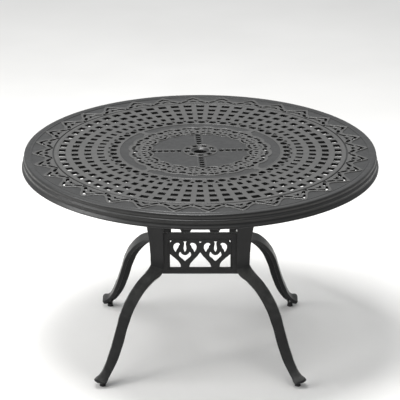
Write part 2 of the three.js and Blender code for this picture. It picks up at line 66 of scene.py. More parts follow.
rim_rise = 2 * MM
rim_width = 34 * MM
plate_thickness = 6 * MM
thick_extra = 3 * MM
plate_top = table_height - rim_rise
plate_bottom = plate_top - plate_thickness
thick_bottom = plate_bottom - thick_extra
field_edge = 0.8 * MM
zone_edge = 1.2 * MM
back_edge = 0.6 * MM
edge_steps = 3
zone_sink = 0.5 * MM
zone_bottom = thick_bottom + zone_sink
overlap = 2 * MM
lap = 1 * MM
field_bead_root = 0.5 * MM
ornament_rise = 0.9 * MM
ornament_bead_rise = 1.9 * MM
ornament_root = 1.2 * MM
pattern_turn = math.radians(2.8)
ring_steps = 256
outline_room_share = 0.45
tight_room_share = 0.48
tight_steps = 5
corner_steps = 4
hole_steps = 3
path_steps = 4
bead_end_share = 0.35
bead_root_share = 0.6
bead_sides = 6

# Hub

hub_hole_radius = 21 * MM
hub_collar_wall = 15 * MM
hub_collar_depth = 16 * MM
hub_cup_radius = 31 * MM
hub_cup_depth = 6.5 * MM
hub_edge = 1.5 * MM
hub_rise = 2 * MM
hub_floor_rise = 0.6 * MM
hub_ring_radius = 60 * MM
hub_ring_width = 5 * MM
hub_slot_count = 9
hub_slot_gap = 1.5 * MM
hub_slot_depth = 15 * MM
hub_slot_width = 16.5 * MM
hub_slot_corner = 4 * MM
collar_steps = 96
hub_steps = 128

# Spokes of slots in the middle field

spoke_count = 4
spoke_slot_count = 5
spoke_gap = 5 * MM
spoke_slot_depth = 14 * MM
spoke_slot_width = 15 * MM
spoke_slot_corner = 2.5 * MM
spoke_end = table_radius * 0.272
spoke_rib_offset = 13 * MM
spoke_rib_width = 3 * MM
spoke_rib_rise = 1.1 * MM
spoke_rib_steps = 10

# Vine ring and the plain band outside it

vine_count = 20
vine_inner = table_radius * 0.275 + 4 * MM
vine_end = table_radius * 0.382
vine_outer = vine_end + 5 * MM
vine_edge = 1.1 * MM
vine_lap = 1.5 * MM
inner_bulge = -11 * MM
outer_bulge = 9 * MM
scallop_steps = 16
scallop_power = 0.8
vine_bead_width = 5 * MM
vine_bead_outset = 2.2 * MM
vine_bead_inset = 2.4 * MM
stem_width = 3.2 * MM
stem_rise = 0.8 * MM
rib_count = 4
rib_corner = 3 * MM
rib_rise = 1.5 * MM
rib_edge = 1.4 * MM

# Chain and lattice of windows

chain_count = 48
chain_start = table_radius * 0.449
chain_rise = 0.8 * MM
chain_window_gap = 11 * MM
ridge_width = 5 * MM
ridge_rise = 1.8 * MM
first_window_start = table_radius * 0.5415
last_window_end = table_radius * 0.7915
lattice_end = table_radius * 0.82
window_count = 64
window_row_count = 4
window_depth = 21.5 * MM
window_corner = 2.2 * MM
lattice_bar_width = 18.5 * MM
lattice_edge = 2 * MM

# Gables, border and rim

arch_count = 32
gable_start = table_radius * 0.826
gable_bead_width = 6 * MM
gable_bead_inset = 3.6 * MM
gable_tip_start = 549 * MM
gable_tip_end = 567 * MM
hood_width = 3.8 * MM
band_rise = 1.7 * MM
band_gap = 2 * MM
band_width = 11 * MM
groove_depth = 1.8 * MM
border_sink = 0.45 * MM
border_lap = 3 * MM
bolt_reaches = (166 * MM, 194 * MM)
bolt_hole_radius = 4.5 * MM
bolt_hole_steps = 24
boss_steps = 32
rim_steps = 256
bolt_places = (bolt_reaches, bolt_reaches[::-1])

# Legs

leg_wall = 14 * MM
knee_over_panel_foot = 39 * MM
panel_gap = 0.3 * MM
knee_height = panel_low.z + knee_over_panel_foot
knee_reach = panel_high.x + panel_gap + leg_wall
knee_way = Vector((0.35, -0.94))
leg_top_reach = 226 * MM
flange_top_reach = 176 * MM
post_head = 18 * MM
post_straight_start = leg_top - post_head
post_power = 2
flange_drop = 14 * MM
inner_drop = 6 * MM
flange_lip = 0.6 * MM
flange_round = 2.6 * MM
inner_round = 4 * MM
corner_round = 2.2 * MM
toe_start_share = 0.72
toe_thinning_share = 0.35
sole_flat_share = 0.3
toe_round_growth = 11 * MM
toe_tip_round = 13 * MM
toe_tip_rise = 21 * MM
toe_flange_rise = 7 * MM
toe_wall = (10 * MM, 3 * MM)
sole_inner_reach = 316 * MM
sole_outer_reach = 336.5 * MM
sole_rise = 1 * MM
sole_heel_inset = 4 * MM
toe_heel_inset = 2 * MM
toe_flange_outset = 1 * MM
leg_pad_thickness = 10 * MM
leg_pad_inner_reach = 150 * MM
leg_pad_corner = 6 * MM
leg_pad_edge = 0.8 * MM

# Panels

panel_side_rail = 20 * MM
panel_bottom_rail = 21 * MM
panel_top_rail = 26 * MM
panel_body_inset = 1.6 * MM
panel_corner = 3 * MM
panel_hole_corner = 2 * MM
panel_bolt_offset = 7 * MM
panel_bolt_insets = {-1: 40 * MM, 1: 54 * MM}
panel_bolt_hole_radius = 3.4 * MM
panel_hole_steps = 20
step_margin = 7 * MM
step_head_margin = 9 * MM
tracery_side_inset = 4 * MM
tracery_end_inset = 6 * MM
tracery_corner = 4 * MM
tracery_edge = 1.8 * MM
tracery_back_edge = 1.4 * MM
frame_edge = 1.1 * MM
frame_back_edge = 0.8 * MM
lip_margin = 2.2 * MM
lip_width = 3 * MM
lip_below_face = 0.5 * MM

# Fasteners and feet

top_bolt_head_radius = 7.5 * MM
top_bolt_head_depth = 5.5 * MM
top_bolt_radius = 4 * MM
top_bolt_pitch = 1.25 * MM
washer_hole_radius = 4.6 * MM
washer_radius = 8.3 * MM
panel_bolt_head_radius = 5.5 * MM
panel_bolt_head_depth = 4 * MM
panel_bolt_radius = 3 * MM
panel_bolt_pitch = 1 * MM
shank_lap = 0.3 * MM
stud_radius = 4 * MM
stud_pitch = 1.25 * MM
thread_core_share = 0.86
thread_tip_share = 0.7
thread_start_share = 0.4
thread_ridge_share = 0.25
chamfer_share = 0.3
hex_crown_shares = (0.9, 0.985, 0.25)
top_bolt_turn = 0.3
hex_steps = 36
shank_steps = 24
washer_steps = 40
pad_steps = 64
fastener_crease = 30
pad_crease = 35

# Surfaces: where over the plate the painted highlight on the raised ornament and the painted shade on the
# walls of the holes start and are full, and how deep the bumps are

raised_start = 0.25 * MM
raised_full = 0.85 * MM
wall_start = 0.1 * MM
wall_full = 0.9 * MM
casting_wave = 1.2 * MM
orange_peel = 0.25 * MM
turning_mark = 0.1 * MM
rubber_grain = 0.2 * MM
# Each coat's two colours and its dust colour. On the legs the dust colour is mostly painted light on
# up-facing faces, with some real dust.
top_colours = ((0.0105, 0.0105, 0.0105), (0.0145, 0.0145, 0.014), (0.20, 0.195, 0.185))
leg_colours = ((0.014, 0.014, 0.0145), (0.019, 0.019, 0.0195), (0.20, 0.20, 0.19))
# Painted highlight on the raised ornament, and painted shade, near black, on the walls of the holes.
relief_highlight_and_shade_colours = ((0.054, 0.053, 0.051), (0.0025, 0.0025, 0.0025))
zinc_colours = ((0.42, 0.43, 0.45), (0.58, 0.58, 0.56))
rubber_colours = ((0.012, 0.012, 0.013), (0.05, 0.048, 0.045))
floor_colours = ((0.80, 0.79, 0.77), (0.84, 0.83, 0.81))

# Stage

photo_size = 400
photo_focal_pixels = 2100
camera_place = (0, -6.646, 3.123)
camera_tilt = math.radians(90 - 21.25)
camera_shift = -0.0005
camera_reach = 60
sensor_width = 36
floor_half = 12
light_way = (0, 0.35, 0.8)
light_colour = (0.96, 0.98, 1.0, 1)
backdrop_colour = (0.93, 0.93, 0.925, 1)
# Place, aim, size and power of each lamp
overhead_lamp = ((-0.5, -0.4, 4.2), (0, 0, 0.3), 1.6, 210)
side_lamp = ((-4, -1, 2.6), (0, 0, 0.6), 2.4, 125)

# Shapes in the plane


def in_metres(places):
    """Places whose numbers are given in millimetres."""
    return [tuple(value * MM for value in place) for place in places]


def polar(radius, angle):
    """A point at a radius; angles run from the front of the table towards +X."""
    return Vector((radius * math.sin(angle), -radius * math.cos(angle)))


def beside(angle, places):
    """Points at a radius and at a sideways distance along it from a centre line."""
    return [polar(radius, angle + sideways / radius) for radius, sideways in places]


def turns_of(count, start_share=0):
    return [pattern_turn + (k + start_share) * FULL_TURN / count for k in range(count)]


def circle(radius, steps=ring_steps):
    return [polar(radius, k * FULL_TURN / steps) for k in range(steps)]


def mirrored(points):
    """Half an outline, closed by its mirror image in the second coordinate."""
    return points + other_side(points)[::-1]


def other_side(points):
    """The mirror image in the second coordinate of the points that aren't on the centre line."""
    return [(first, -second) for first, second in points if second]


def area_of(loop):
    return sum(a.x * b.y - b.x * a.y for a, b in zip(loop, loop[1:] + loop[:1])) / 2


def directed(loop, counter_clockwise):
    return loop if (area_of(loop) > 0) == counter_clockwise else loop[::-1]


def bend(start, corner, end, steps):
    """A round from the start to the end that leans towards the corner."""
    shares = [step / steps for step in range(steps + 1)]
    return [start * (1 - t) ** 2 + corner * 2 * t * (1 - t) + end * t ** 2 for t in shares]


def towards(corner, other, reach):
    """A point on the way to another corner, at the reach or as far as there is room."""
    way = other - corner
    return corner + way * min(reach / max(way.length, tiny), tight_room_share)


def rounded(points, radius):
    """A closed outline with every corner replaced by a round of the radius, where it has room."""
    loop = []
    count = len(points)
    for k, corner in enumerate(points):
        before = points[k - 1] - corner
        after = points[(k + 1) % count] - corner
        reach = min(radius, before.length * outline_room_share, after.length * outline_room_share)
        start = corner + before.normalized() * reach
        loop += bend(start, corner, corner + after.normalized() * reach, corner_steps)
    return loop


def rounded_box(low, high, radius):
    """A rectangle between two opposite corners, with its corners rounded."""
    corners = (low, (high[0], low[1]), high, (low[0], high[1]))
    return rounded([Vector(corner) for corner in corners], radius)


def spline(points, steps, closed):
    """A smooth curve through the points."""
    run = points[-1:] + points + points[:2] if closed else points[:1] + points + points[-1:]
    curve = []
    for a, b, c, d in zip(run, run[1:], run[2:], run[3:]):
        for step in range(steps):
            t = step / steps
            curve.append((b * 2 + (c - a) * t + (a * 2 - b * 5 + c * 4 - d) * t ** 2
                          + (b * 3 - a - c * 3 + d) * t ** 3) / 2)
    if not closed:
        curve.append(points[-1].copy())
    return curve


def smooth_hole(angle, places):
    """A smooth closed outline through places in millimetres of radius and of sideways distance."""
    return spline(beside(angle, in_metres(places)), hole_steps, True)


def smooth_path(angle, places):
    """A smooth open path through places in millimetres of radius and of sideways distance."""
    return spline(beside(angle, in_metres(places)), path_steps, False)


def sector(angle, inner, outer, inner_width, outer_width, corner):
    return rounded(beside(angle, [
        (inner, -inner_width / 2),
        (inner, inner_width / 2),
        (outer, outer_width / 2),
        (outer, -outer_width / 2),
    ]), corner)


def left_normals(loop):
    """For each point of a closed loop, the way to its left and how far that is lengthened at the corner."""
    normals = []
    count = len(loop)
    for k in range(count):
        into = (loop[k] - loop[k - 1]).normalized()
        out = (loop[(k + 1) % count] - loop[k]).normalized()
        middle = Vector((-into.y - out.y, into.x + out.x))
        if middle.length < tiny:
            middle = Vector((-into.y, into.x))
        middle.normalize()
        normals.append((middle, 1 / max(middle.dot(Vector((-into.y, into.x))), 0.5)))
    return normals


# Shells: points, faces and, where they are known exactly, normals


class Shell:
    def __init__(self):
        self.points = []
        self.faces = []
        self.normals = {}

    def ring(self, points):
        start = len(self.points)
        self.points.extend(Vector(point) for point in points)
        return list(range(start, len(self.points)))

    def strip(self, upper, lower):
        """Faces between two rings of the same length. The outside is to the right of their direction."""
        count = len(upper)
        for k in range(count):
            following = (k + 1) % count
            self.faces.append((upper[k], lower[k], lower[following], upper[following]))

    def cap(self, first, last):
        self.faces.append(tuple(first))
        self.faces.append(tuple(reversed(last)))

    def skin(self, rings, around=False):
        """Faces from ring to ring. They go on round to the first ring, or else both ends are capped."""
        for upper, lower in zip(rings, rings[1:] + (rings[:1] if around else [])):
            self.strip(upper, lower)
        if not around:
            self.cap(rings[0], rings[-1])


def filled(loops):
    """Triangles between an outer loop and the holes in it, as indices into all the loops' points in turn."""
    points = [point for loop in loops for point in loop]
    owners = [number for number, loop in enumerate(loops) for _ in loop]
    edges = []
    start = 0
    for loop in loops:
        edges += [(start + k, start + (k + 1) % len(loop)) for k in range(len(loop))]
        start += len(loop)
    result = geometry.delaunay_2d_cdt(points, edges, [], 1, 1e-9)
    original = [sources[0] for sources in result[3]]
    triangles = []
    for face in result[2]:
        a, b, c = (original[corner] for corner in face)
        if area_of([points[a], points[b], points[c]]) < 0:
            b, c = c, b
        # A triangle within one hole runs against the hole's clockwise order and is left open.
        in_order = a < b < c or b < c < a or c < a < b
        if in_order or owners[a] == 0 or not owners[a] == owners[b] == owners[c]:
            triangles.append((a, b, c))
    return triangles


def add_plate(shell, outline, holes, low, high, edge, lower_edge=back_edge):
    """A flat plate with holes and rounded edges. The edge's radius is taken out of the plate."""
    levels = []
    for step in range(edge_steps + 1):
        angle = step / edge_steps * QUARTER_TURN
        levels.append((edge * (1 - math.sin(angle)), high - edge * (1 - math.cos(angle)), angle))
    for angle in (QUARTER_TURN, 2 * QUARTER_TURN):
        levels.append((lower_edge * (1 - math.sin(angle)), low + lower_edge * (1 + math.cos(angle)), angle))
    first, last, tops = [], [], []
    for loop in [directed(outline, True)] + [directed(hole, False) for hole in holes]:
        normals = left_normals(loop)
        rings = []
        for inset, height, angle in levels:
            ring = shell.ring([(*(point + way * (inset * stretch)), height)
                               for point, (way, stretch) in zip(loop, normals)])
            for index, (way, _) in zip(ring, normals):
                shell.normals[index] = Vector((*(-way * math.sin(angle)), math.cos(angle)))
            rings.append(ring)
        for upper, lower in zip(rings, rings[1:]):
            shell.strip(upper, lower)
        first += rings[0]
        last += rings[-1]
        tops.append([shell.points[k].to_2d() for k in rings[0]])
    triangles = filled(tops)
    shell.faces += [tuple(first[k] for k in triangle) for triangle in triangles]
    shell.faces += [tuple(last[k] for k in reversed(triangle)) for triangle in triangles]


def add_turned(shell, profile, steps, centre=(0, 0), around=True):
    """A solid turned about the vertical, from a profile of radius and height with the axis on its left.
    The profile is closed, or else it runs from the top of the axis to its foot."""
    rings = []
    for radius, height in profile:
        rings.append(shell.ring([(point.x + centre[0], point.y + centre[1], height)
                                 for point in circle(radius, steps)]))
    shell.skin(rings, around)


def add_bead(shell, path, width, base, crest, closed=True):
    """A half-round bead along a flat path, from inside the metal at the base up to the crest."""
    angles = [k * math.pi / bead_sides for k in range(bead_sides + 1)]
    section = [(1, -bead_root_share), *[(math.cos(angle), math.sin(angle)) for angle in angles],
               (-1, -bead_root_share)]
    rise = crest - base
    count = len(path)
    rings = []
    for k, point in enumerate(path):
        before = path[k - 1] if closed or k else point
        after = path[(k + 1) % count] if closed or k + 1 < count else point
        along = (after - before).normalized()
        left = Vector((-along.y, along.x))
        shrink = 1 if closed or k not in (0, count - 1) else bead_end_share
        rings.append(shell.ring([(*(point + left * (across * width / 2 * shrink)), base + up * rise * shrink)
                                 for across, up in section]))
    for here, following in zip(rings, rings[1:] + (rings[:1] if closed else [])):
        shell.strip(following, here)
    if not closed:
        shell.cap(rings[0], rings[-1])


def mesh_of(name, shell, crease_degrees=0):
    mesh = bpy.data.meshes.new(name)
    mesh.from_pydata([tuple(point) for point in shell.points], [], shell.faces)
    mesh.polygons.foreach_set("use_smooth", [True] * len(mesh.polygons))
    if shell.normals:
        normals = [vertex.vector.copy() for vertex in mesh.vertex_normals]
        for index, normal in shell.normals.items():
            normals[index] = normal
        mesh.normals_split_custom_set_from_vertices([tuple(normal) for normal in normals])
    else:
        mesh.set_sharp_from_angle(angle=math.radians(crease_degrees))
    return mesh


def new_thing(name, data):
    thing = bpy.data.objects.new(name, data)
    bpy.context.scene.collection.objects.link(thing)
    return thing


def piece(name, mesh, material, body, node, turn=0, place=(0, 0, 0)):
    thing = new_thing(name, mesh)
    thing.matrix_world = Matrix.Translation(Vector(place)) @ Matrix.Rotation(turn, 4, "Z")
    thing.data.materials.clear()
    thing.data.materials.append(material)
    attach(thing, body)
    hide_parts(node)


# Materials


class NodeTree:
    """The node tree of a material or of the world, with the kinds of node that several of them use."""

    def __init__(self, owner):
        owner.use_nodes = True
        self.owner = owner
        self.nodes = owner.node_tree.nodes
        self.coordinates = self.add("TexCoord")
        self.place = self.coordinates.outputs["Object"]

    def add(self, kind, *values, **settings):
        """A new node with its first inputs and its settings."""
        node = self.nodes.new(f"ShaderNode{kind}")
        for name, value in settings.items():
            setattr(node, name, value)
        for socket, value in zip(node.inputs, values):
            self.connect(socket, value)
        return node

    def feed(self, node, **inputs):
        """Link or set the node's inputs. Their names are given in small letters with underscores."""
        for name, value in inputs.items():
            sockets = [socket for socket in node.inputs if socket.name.lower().replace(" ", "_") == name]
            self.connect(sockets[0], value)
        return node

    def connect(self, socket, value):
        if isinstance(value, bpy.types.NodeSocket):
            self.owner.node_tree.links.new(value, socket)
        else:
            socket.default_value = value

    def noise(self, scale, detail, roughness=0.5):
        node = self.add("TexNoise", self.place)
        return self.feed(node, scale=scale, detail=detail, roughness=roughness).outputs["Fac"]

    def spread(self, value, low, high, from_low=0.3, from_high=0.7):
        """The value taken from one range to another."""
        return self.add("MapRange", value, from_low, from_high, low, high).outputs["Result"]

    def varied(self, scale, detail, low, high, roughness=0.5):
        """Noise between a low and a high value."""
        return self.spread(self.noise(scale, detail, roughness), low, high)

    def blend(self, share, colours):
        node = self.add("Mix", share, data_type="RGBA")
        for socket, colour in zip(node.inputs[6:8], colours):
            self.connect(socket, (*colour, 1) if isinstance(colour, tuple) else colour)
        return node.outputs[2]

    def bump(self, height, strength, distance):
        return self.feed(self.add("Bump"), height=height, strength=strength, distance=distance)

    def product(self, first, second):
        return self.add("Math", first, second, operation="MULTIPLY").outputs[0]

    def surface(self, **inputs):
        """Feed the shader and hand over the finished material."""
        self.feed(self.nodes["Principled BSDF"], **inputs)
        return self.owner


def new_tree(name):
    return NodeTree(bpy.data.materials.new(name))


def facing_parts(tree):
    """How far a surface faces up, and how far it stands upright."""
    up = tree.add("SeparateXYZ", tree.add("NewGeometry").outputs["Normal"]).outputs["Z"]
    level = tree.add("Math", up, operation="ABSOLUTE").outputs[0]
    return up, tree.spread(level, 1, 0, 0.35, 0.85)


def relief_highlight_and_shade_masks(tree, upright):
    """How far a surface is raised ornament, which gets a painted highlight, and how far the wall of a hole,
    which gets painted shade. The plain rim is neither.
    """
    height = tree.add("SeparateXYZ", tree.place).outputs["Z"]
    flat = tree.add("VectorMath", tree.place, (1, 1, 0), operation="MULTIPLY").outputs[0]
    radius = tree.add("VectorMath", flat, operation="LENGTH").outputs["Value"]
    rim_start = table_radius - rim_width
    pierced = tree.spread(radius, 1, 0, rim_start - overlap, rim_start)
    raised = tree.spread(height, 0, 1, plate_top + raised_start, plate_top + raised_full)
    sunk = tree.spread(height, 1, 0, plate_top - wall_full, plate_top - wall_start)
    walls = tree.product(sunk, upright)
    return tree.product(raised, pierced), tree.product(walls, pierced)


def powder_coat(name, colours, dust, roughness, gloss, highlight_and_shade=None):
    """Satin powder coat on cast metal: orange peel, soft casting waves, colour drift and dust on up-facing
    faces.
    Where the dust's share is high, as on the legs, that lightening is mostly painted light. The colours are
    the coat's two and the dust's. Two more colours, if given, are a painted highlight on the raised ornament
    and painted shade, with dulled gloss, on the walls of the holes."""
    tree = new_tree(name)
    colour, light, dust_and_light_colour = colours
    up, upright = facing_parts(tree)
    base = tree.blend(tree.varied(9, 3, 0, 1), (colour, light))
    base = tree.blend(tree.varied(420, 2, 0, 0.35), (base, light))
    if highlight_and_shade:
        raised, walls = relief_highlight_and_shade_masks(tree, upright)
        # Painted highlight on the raised ornament, varied at random, and painted shade on the walls of the
        # holes, whose gloss is also dulled so that they stay dark.
        raised_highlight = tree.product(raised, tree.varied(26, 4, 0.75, 1))
        base = tree.blend(raised_highlight, (base, highlight_and_shade[0]))
        base = tree.blend(walls, (base, highlight_and_shade[1]))
        gloss = tree.spread(walls, gloss, 0.1, 0, 1)
    # Dust on up-facing faces. With the legs' high share it is mostly painted light that lightens their knees
    # and toes.
    dust_and_upward_light = tree.product(tree.spread(up, 0, dust, 0.15, 0.95), tree.varied(34, 5, 0.3, 1, 0.6))
    waves = tree.bump(tree.noise(55, 2), 0.12, casting_wave)
    peel = tree.bump(tree.noise(700, 2), 0.16, orange_peel)
    tree.feed(peel, normal=waves.outputs["Normal"])
    return tree.surface(
        base_color=tree.blend(dust_and_upward_light, (base, dust_and_light_colour)),
        roughness=tree.varied(60, 4, roughness - 0.05, roughness + 0.07),
        specular_ior_level=gloss,
        metallic=0,
        ior=1.5,
        normal=peel.outputs["Normal"],
    )


def plated_steel(name):
    """Zinc-plated steel with faint turning marks and dull patches."""
    tree = new_tree(name)
    marks = tree.feed(tree.add("TexWave", tree.place, bands_direction="Z"), scale=700, distortion=1.5)
    return tree.surface(
        base_color=tree.blend(tree.varied(160, 4, 0, 1), zinc_colours),
        roughness=tree.varied(90, 3, 0.28, 0.46),
        metallic=1,
        normal=tree.bump(marks.outputs["Fac"], 0.1, turning_mark).outputs["Normal"],
    )


def moulded_rubber(name):
    """Black moulded rubber, matt, with scuffs and trodden-in dust."""
    tree = new_tree(name)
    scuff = tree.spread(tree.noise(180, 5, 0.65), 0, 0.6, 0.45, 0.75)
    return tree.surface(
        base_color=tree.blend(scuff, rubber_colours),
        roughness=tree.varied(120, 3, 0.62, 0.85),
        normal=tree.bump(tree.noise(900, 3), 0.25, rubber_grain).outputs["Normal"],
    )


def pale_floor(name):
    tree = new_tree(name)
    return tree.surface(base_color=tree.blend(tree.varied(1.5, 3, 0, 1), floor_colours), roughness=0.9)


# The top gets a painted highlight on its raised ornament and painted shade on the walls of its holes.
top_coat = powder_coat("top_coat", top_colours, dust=0.05, roughness=0.36, gloss=0.42, highlight_and_shade=relief_highlight_and_shade_colours)
# The legs' high dust share is mostly painted light on their up-facing knees and toes, with some real dust.
leg_coat = powder_coat("leg_coat", leg_colours, dust=0.5, roughness=0.34, gloss=0.22)
steel = plated_steel("plated_steel")
foot_rubber = moulded_rubber("foot_rubber")

# Top casting: fields are the smooth flats, zones the raised pierced parts


def add_hub(shell):
    hole = hub_hole_radius
    cup = hub_cup_radius
    outer = hole + hub_collar_wall
    crest = plate_top + hub_rise
    foot = plate_bottom - hub_collar_depth
    cup_foot = crest - hub_cup_depth
    # Each corner: the radius and height that it is near, and how many edges outwards and upwards of them.
    corners = [
        (hole, foot, 0, 0), (hole, cup_foot, 0, -1), (hole, cup_foot, 0.3, -0.3), (hole, cup_foot, 1, 0.1),
        (cup, cup_foot, -2, 1.6), (cup, crest, -0.6, -1), (cup, crest, 0, -0.3), (cup, crest, 0.5, 0),
        (outer, crest, -1, 0), (outer, crest, -0.3, -0.3), (outer, crest, 0, -1),
        (outer, plate_bottom, 0, 0), (outer, foot, -1, 0),
    ]
    section = [(radius + out * hub_edge, height + up * hub_edge) for radius, height, out, up in corners]
    add_turned(shell, section, collar_steps)
    slot_outer = hub_ring_radius - hub_ring_width - hub_slot_gap
    holes = [sector(angle, slot_outer - hub_slot_depth, slot_outer, hub_slot_width, hub_slot_width,
                    hub_slot_corner) for angle in turns_of(hub_slot_count)]
    holes.append(circle(outer - overlap, collar_steps))
    add_plate(shell, circle(hub_ring_radius - overlap, hub_steps), holes, plate_bottom,
              plate_top + hub_floor_rise, zone_edge)
    add_bead(shell, circle(hub_ring_radius - hub_ring_width / 2, hub_steps), hub_ring_width,
             plate_top - lap, crest)


def scalloped(base_radius, bulge):
    """A ring of round bulges that meet in cusps. A positive bulge swells outwards."""
    loop = []
    for k in range(vine_count * scallop_steps):
        phase = (k % scallop_steps) / scallop_steps
        angle = pattern_turn + k / scallop_steps * FULL_TURN / vine_count
        loop.append(polar(base_radius + bulge * math.sin(math.pi * phase) ** scallop_power, angle))
    return loop


def add_middle_field(shell):
    """The flat inside the vine, with four spokes of slots between low ribs."""
    start = hub_ring_radius + spoke_gap
    step = (spoke_end - start - spoke_slot_depth) / (spoke_slot_count - 1)
    holes = [circle(hub_ring_radius - hub_ring_width + lap, hub_steps)]
    for angle in turns_of(spoke_count):
        for slot in range(spoke_slot_count):
            inner = start + slot * step
            holes.append(sector(angle, inner, inner + spoke_slot_depth, spoke_slot_width, spoke_slot_width,
                                spoke_slot_corner))
        for side in (-1, 1):
            rib = beside(angle, [(start + k / spoke_rib_steps * (spoke_end - start - lap),
                                  side * spoke_rib_offset) for k in range(spoke_rib_steps + 1)])
            add_bead(shell, rib, spoke_rib_width, plate_top - field_bead_root,
                     plate_top + spoke_rib_rise, closed=False)
    edge = scalloped(vine_inner + vine_lap, inner_bulge)
    add_plate(shell, edge, holes, plate_bottom, plate_top, field_edge)


def vine_holes():
    """Openings of the vine: crescents under the scallops, drops and leaves on the cusps, buds between."""
    window = [(164, 2.2), (166, 9), (170, 16), (174.5, 20), (177, 17), (174.5, 9), (173, 2.2)]
    bud = [(184, 4.5), (186, 10.5), (191, 16), (196.5, 12), (193, 5.5)]
    crescent = [(231.5, 2.5), (231, 9), (227.5, 15), (222.5, 18.5), (219.5, 14), (220, 8), (220.5, 2.5)]
    vein = [(203.5, 3), (207.5, 5), (211, 3.5), (210, 9), (205, 8)]
    drop = mirrored([(177.5, 0), (183, 3.6), (190, 4.2), (198, 0)])
    leaf = mirrored([(209, 0), (212, 6), (217, 10.5), (222, 11.5), (225.5, 8), (225, 3.5), (224, 0)])
    pairs = (window, bud, crescent, vein)
    holes = []
    for angle in turns_of(vine_count, 1 / 2):
        holes += [smooth_hole(angle, other_side(shape)) for shape in pairs]
        holes += [smooth_hole(angle, shape) for shape in pairs]
    for angle in turns_of(vine_count):
        holes += [smooth_hole(angle, shape) for shape in (drop, leaf)]
    return holes


def add_vine(shell):
    crest = plate_top + ornament_rise
    root = crest - ornament_root
    bead_crest = plate_top + ornament_bead_rise
    holes = vine_holes() + [scalloped(vine_inner, inner_bulge)]
    add_plate(shell, scalloped(vine_outer, outer_bulge), holes, plate_bottom - zone_sink, crest, vine_edge)
    for edge in (scalloped(vine_inner + vine_bead_outset, inner_bulge),
                 scalloped(vine_outer - vine_bead_inset, outer_bulge)):
        add_bead(shell, edge, vine_bead_width, root, bead_crest)
    # Leaf stems that curl from each cusp between the openings.
    stem = [(180, 4.5), (187, 6.5), (195, 7), (201, 9), (207, 15), (210, 22)]
    for angle in turns_of(vine_count):
        for shape in (other_side(stem), stem):
            add_bead(shell, smooth_path(angle, shape), stem_width, root, crest + stem_rise, closed=False)


def add_band_field(shell):
    """The plain band between vine and chain, with the ribs that cross it."""
    add_plate(shell, circle(chain_start + overlap), [circle(vine_end + lap)],
              plate_bottom, plate_top, field_edge)
    rib = [(237, 24), (242, 24), (247, 13), (255, 8), (265, 8), (273, 13), (279, 24), (284, 24)]
    for angle in turns_of(rib_count, 1 / 2):
        outline = rounded(beside(angle, in_metres(mirrored(rib))), rib_corner)
        add_plate(shell, outline, [], plate_top - lap, plate_top + rib_rise, rib_edge)


def chain_holes():
    link = mirrored([(280.5, 0), (282.5, 7.5), (291.5, 12.5), (301, 7.5), (303, 0)])
    notch = mirrored([(296.5, 0), (302, 3.6), (308.5, 6.5), (310.5, 0)])
    holes = [smooth_hole(angle, link) for angle in turns_of(chain_count, 1 / 2)]
    return holes + [smooth_hole(angle, notch) for angle in turns_of(chain_count)]


def lattice_holes():
    row_step = (last_window_end - first_window_start - window_depth) / (window_row_count - 1)
    window_angle = FULL_TURN / window_count
    holes = []
    for row in range(window_row_count):
        inner = first_window_start + row * row_step
        outer = inner + window_depth
        for angle in turns_of(window_count, 1 / 2):
            holes.append(sector(angle, inner, outer, inner * window_angle - lattice_bar_width,
                                outer * window_angle - lattice_bar_width, window_corner))
    return holes


def add_lattice(shell):
    """The chain and the windows outside it, with a ridge at the chain's inner edge."""
    middle = first_window_start - chain_window_gap
    add_plate(shell, circle(middle + overlap), chain_holes() + [circle(chain_start)],
              zone_bottom, plate_top + chain_rise, zone_edge)
    add_plate(shell, circle(lattice_end), lattice_holes() + [circle(middle)], thick_bottom,
              plate_top + ornament_rise, lattice_edge)
    add_bead(shell, circle(chain_start + ridge_width / 2), ridge_width, plate_top - field_bead_root,
             plate_top + ridge_rise)


def gable_outline(inset=0):
    """The edge of the gables: pointed tips and hollow sides that meet in round valleys."""
    # Radius of the edge in millimetres, and how far it is from the tip to the valley, as a share.
    side = [(568.5, 0), (552, 0.31), (537.5, 0.53), (527, 0.78), (522, 1)]
    half_pitch = FULL_TURN / arch_count / 2
    half = spline([Vector((radius * MM - inset, share)) for radius, share in side], path_steps, False)
    loop = []
    for angle in turns_of(arch_count):
        loop += [polar(radius, angle + half_pitch * share) for radius, share in half[:-1]]
        loop += [polar(radius, angle + half_pitch * (2 - share)) for radius, share in half[:0:-1]]
    return loop


def gable_holes():
    """Openings of the gables: a slit under the tip, a crescent and two flames, and a hole in each valley."""
    slit = mirrored([(554.5, 0), (550, 5.5), (543.5, 13), (536.5, 20), (530.5, 23.5), (528, 20.5),
                     (531, 14.5), (536, 8.5), (540, 3.5), (541.5, 0)])
    crescent = mirrored([(524, 0), (520, 6), (513, 11.5), (509, 10), (511, 5), (514, 0)])
    flame = [(522.5, 21.5), (520.5, 30), (514.5, 38), (507, 42), (502.5, 38.5), (506, 31), (512, 23.5),
             (517, 18.5)]
    valley = mirrored([(498, 0), (499, 7.5), (502.5, 5.5), (506, 3), (511, 0)])
    holes = []
    for angle in turns_of(arch_count):
        holes += [smooth_hole(angle, shape) for shape in (slit, crescent, flame, other_side(flame))]
    return holes + [smooth_hole(angle, valley) for angle in turns_of(arch_count, 1 / 2)]


